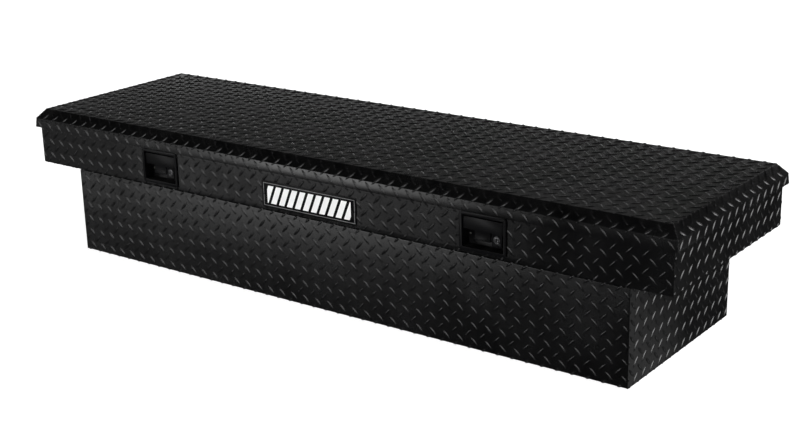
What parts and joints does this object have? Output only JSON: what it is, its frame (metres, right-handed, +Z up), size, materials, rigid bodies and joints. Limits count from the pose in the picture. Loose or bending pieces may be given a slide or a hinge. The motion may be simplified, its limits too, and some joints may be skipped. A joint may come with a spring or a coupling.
{
  "type": "truck tool box",
  "caption": "Low-profile crossover truck tool box in black tread plate: tub with a wing at each end, hinged bevel-edged lid on gas struts, and recessed paddle latches",
  "frame": {"origin": "bottom centre: under the middle of the lid's plan, on the plane of the tub's bottom", "axes": "+X along the box to the right seen from the front, +Y to the rear (hinge side), +Z up"},
  "size_m": [1.778, 0.525, 0.347],
  "materials": {
    "tread_plate": "black powder coat on embossed tread plate, satin",
    "black_sheet": "black powder coat on plain folded sheet, satin",
    "latch_black": "black painted die casting, semi-gloss",
    "badge": "black enamel plate, semi-gloss",
    "zinc_steel": "zinc plated steel, slightly dull",
    "black_steel": "black oxide or painted steel, satin",
    "hinge_steel": "plain rolled stainless steel",
    "polished_rod": "hard chromed rod, polished",
    "seal_rubber": "black sponge rubber, matt",
    "lock_chrome": "chromed lock, worn"
  },
  "bodies": {
    "box": {"tub_wrap": "tread_plate", "tub_end_left": "tread_plate", "tub_end_right": "tread_plate", "collar_front": "tread_plate", "collar_rear": "tread_plate", "wing_pan_left": "tread_plate", "wing_pan_right": "tread_plate", "rim_seal": "seal_rubber", "badge_plate": "badge", "badge_rivets": "black_steel", "hinge_box_leaf": "hinge_steel", "hinge_pin": "hinge_steel", "hinge_box_rivets": "zinc_steel", "latch_screws": "zinc_steel", "latch_rivets": "zinc_steel", "strut_box_rivets": "zinc_steel", "latch_dish_left": "latch_black", "latch_gasket_left": "seal_rubber", "latch_bracket_left": "zinc_steel", "paddle_pin_left": "zinc_steel", "paddle_spring_left": "zinc_steel", "strut_box_bracket_left": "zinc_steel", "latch_dish_right": "latch_black", "latch_gasket_right": "seal_rubber", "latch_bracket_right": "zinc_steel", "paddle_pin_right": "zinc_steel", "paddle_spring_right": "zinc_steel", "strut_box_bracket_right": "zinc_steel"},
    "lid": {"lid_skin": "tread_plate", "lid_inner_pan": "black_sheet", "lid_stiffener_front": "black_sheet", "lid_stiffener_rear": "black_sheet", "hinge_lid_leaf": "hinge_steel", "hinge_lid_rivets": "zinc_steel", "striker_screws": "zinc_steel", "strut_lid_screws": "zinc_steel", "striker_left": "zinc_steel", "strut_lid_bracket_left": "zinc_steel", "striker_right": "zinc_steel", "strut_lid_bracket_right": "zinc_steel"},
    "paddle_left_body": {"paddle_left": "latch_black", "lock_barrel_left": "black_steel"},
    "lock_left": {"lock_plug_left": "lock_chrome"},
    "hook_left": {"latch_hook_left": "zinc_steel"},
    "pawl_left": {"latch_pawl_left": "zinc_steel"},
    "cylinder_left": {"strut_cylinder_left": "black_steel"},
    "rod_left": {"strut_rod_left": "polished_rod"},
    "paddle_right_body": {"paddle_right": "latch_black", "lock_barrel_right": "black_steel"},
    "lock_right": {"lock_plug_right": "lock_chrome"},
    "hook_right": {"latch_hook_right": "zinc_steel"},
    "pawl_right": {"latch_pawl_right": "zinc_steel"},
    "cylinder_right": {"strut_cylinder_right": "black_steel"},
    "rod_right": {"strut_rod_right": "polished_rod"}
  },
  "joints": [
    {"name": "lid_hinge", "type": "hinge", "parent": "box", "child": "lid", "pos_m": [0, 0.257, 0.302], "axis": [-1, 0, 0], "range_deg": [0, 80]},
    {"name": "paddle_left_pull", "type": "hinge", "parent": "box", "child": "paddle_left_body", "pos_m": [-0.457, -0.2465, 0.2825], "axis": [-1, 0, 0], "range_deg": [0, 30], "stiffness_Nm_per_rad": 0.15, "springref_deg": -20.05},
    {"name": "lock_left_turn", "type": "hinge", "parent": "paddle_left_body", "child": "lock_left", "pos_m": [-0.424, -0.249, 0.2495], "axis": [0, 1, 0], "range_deg": [0, 90]},
    {"name": "hook_left_close", "type": "hinge", "parent": "box", "child": "hook_left", "pos_m": [-0.501, -0.2185, 0.2845], "axis": [0, 1, 0], "range_deg": [0, 30]},
    {"name": "pawl_left_trip", "type": "hinge", "parent": "box", "child": "pawl_left", "pos_m": [-0.449, -0.2185, 0.26], "axis": [0, -1, 0], "range_deg": [0, 36]},
    {"name": "cylinder_left_swing", "type": "hinge", "parent": "box", "child": "cylinder_left", "pos_m": [-0.722, 0.16045, 0.12685], "axis": [-1, 0, 0], "range_deg": [0, 40]},
    {"name": "rod_left_swing", "type": "hinge", "parent": "lid", "child": "rod_left", "pos_m": [-0.722, 0.05725, 0.312], "axis": [1, 0, 0], "range_deg": [0, 40]},
    {"name": "paddle_right_pull", "type": "hinge", "parent": "box", "child": "paddle_right_body", "pos_m": [0.457, -0.2465, 0.2825], "axis": [-1, 0, 0], "range_deg": [0, 30], "stiffness_Nm_per_rad": 0.15, "springref_deg": -20.05},
    {"name": "lock_right_turn", "type": "hinge", "parent": "paddle_right_body", "child": "lock_right", "pos_m": [0.49, -0.249, 0.2495], "axis": [0, 1, 0], "range_deg": [0, 90]},
    {"name": "hook_right_close", "type": "hinge", "parent": "box", "child": "hook_right", "pos_m": [0.413, -0.2185, 0.2845], "axis": [0, 1, 0], "range_deg": [0, 30]},
    {"name": "pawl_right_trip", "type": "hinge", "parent": "box", "child": "pawl_right", "pos_m": [0.465, -0.2185, 0.26], "axis": [0, -1, 0], "range_deg": [0, 36]},
    {"name": "cylinder_right_swing", "type": "hinge", "parent": "box", "child": "cylinder_right", "pos_m": [0.766, 0.16045, 0.12685], "axis": [-1, 0, 0], "range_deg": [0, 40]},
    {"name": "rod_right_swing", "type": "hinge", "parent": "lid", "child": "rod_right", "pos_m": [0.766, 0.05725, 0.312], "axis": [1, 0, 0], "range_deg": [0, 40]}
  ],
  "couplings": [
    {"joint": "pawl_left_trip", "follows": "paddle_left_pull", "ratio": 1.2},
    {"joint": "cylinder_left_swing", "follows": "lid_hinge", "ratio": 0.5},
    {"joint": "rod_left_swing", "follows": "lid_hinge", "ratio": 0.5},
    {"joint": "pawl_right_trip", "follows": "paddle_right_pull", "ratio": 1.2},
    {"joint": "cylinder_right_swing", "follows": "lid_hinge", "ratio": 0.5},
    {"joint": "rod_right_swing", "follows": "lid_hinge", "ratio": 0.5}
  ]
}
